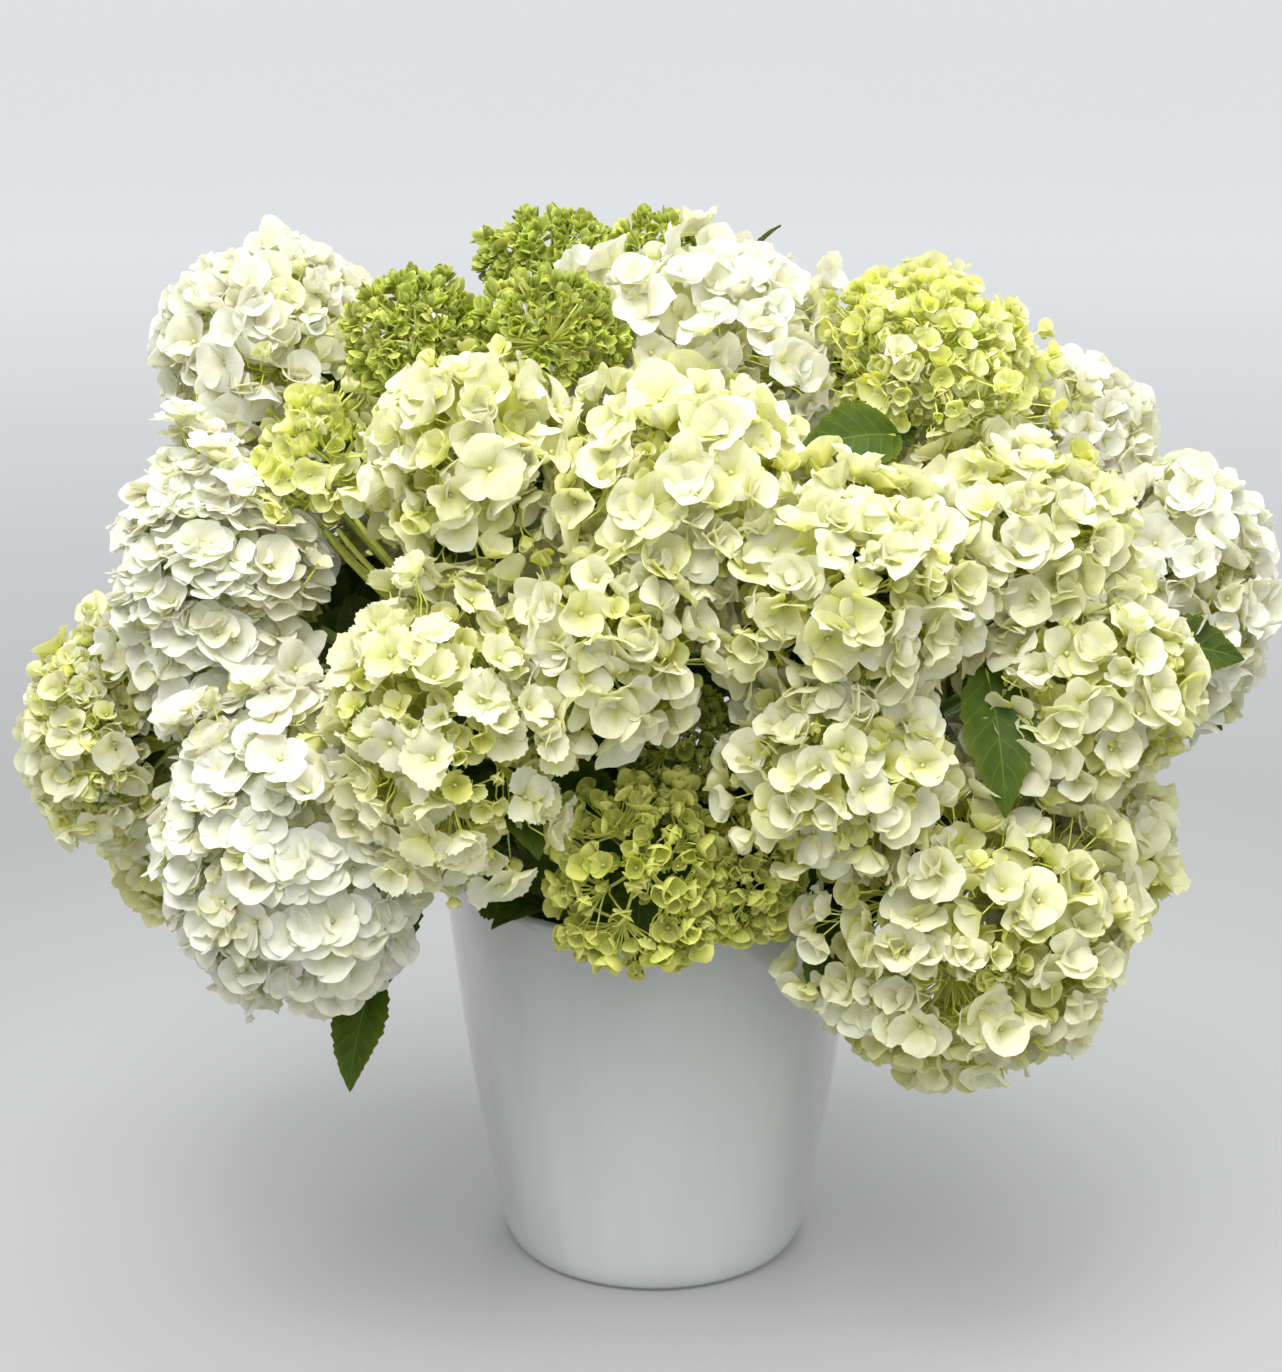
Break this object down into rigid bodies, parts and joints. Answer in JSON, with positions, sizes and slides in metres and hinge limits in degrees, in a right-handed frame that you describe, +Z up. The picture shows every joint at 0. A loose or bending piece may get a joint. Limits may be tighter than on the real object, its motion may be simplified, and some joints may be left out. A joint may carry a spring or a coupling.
{
  "type": "hydrangeas in a vase",
  "caption": "Full round bunch of cream, white and lime-green hydrangea heads on leafy stems, in a white glazed ceramic vase with a wavy rim and a flat foot.",
  "frame": {"origin": "centre of the vase's foot, on the surface it stands on", "axes": "+Z up along the vase's axis, -Y towards the front of the bunch, +X to the right as seen from the front"},
  "size_m": [0.7449, 0.5482, 0.6299],
  "materials": {
    "vase_glaze": "gloss",
    "water": "clear",
    "stem_green": "satin",
    "floret_cream": "matte",
    "floret_white": "matte",
    "floret_lime": "matte"
  },
  "bodies": {
    "root": {"head_back_lower": "floret_white", "head_back_lower_left": "floret_cream", "head_back_lower_right": "floret_white", "head_back_upper": "floret_cream", "head_back_upper_left": "floret_white", "head_back_upper_right": "floret_cream", "head_behind_left": "floret_cream", "head_behind_right": "floret_white", "head_buds_back": "floret_lime", "head_buds_left": "floret_lime", "head_centre": "floret_cream", "head_centre_left": "floret_cream", "head_far_left": "floret_lime", "head_far_right": "floret_white", "head_front_left": "floret_cream", "head_front_right": "floret_cream", "head_left": "floret_white", "head_lime_front": "floret_lime", "head_lime_front_small": "floret_lime", "head_lime_inner": "floret_lime", "head_lime_left": "floret_lime", "head_lime_top": "floret_lime", "head_lower_left": "floret_white", "head_lower_right": "floret_cream", "head_right": "floret_cream", "head_side_left": "floret_white", "head_side_right": "floret_cream", "head_top": "floret_white", "head_upper_left": "floret_white", "stem_back_lower": "stem_green", "stem_back_lower_left": "stem_green", "stem_back_lower_right": "stem_green", "stem_back_upper": "stem_green", "stem_back_upper_left": "stem_green", "stem_back_upper_right": "stem_green", "stem_behind_left": "stem_green", "stem_behind_right": "stem_green", "stem_buds_back": "stem_green", "stem_buds_left": "stem_green", "stem_centre": "stem_green", "stem_centre_left": "stem_green", "stem_far_left": "stem_green", "stem_far_right": "stem_green", "stem_front_left": "stem_green", "stem_front_right": "stem_green", "stem_left": "stem_green", "stem_lime_front": "stem_green", "stem_lime_front_small": "stem_green", "stem_lime_inner": "stem_green", "stem_lime_left": "stem_green", "stem_lime_top": "stem_green", "stem_lower_left": "stem_green", "stem_lower_right": "stem_green", "stem_right": "stem_green", "stem_side_left": "stem_green", "stem_side_right": "stem_green", "stem_top": "stem_green", "stem_upper_left": "stem_green", "vase": "vase_glaze", "water": "water"}
  },
  "joints": []
}
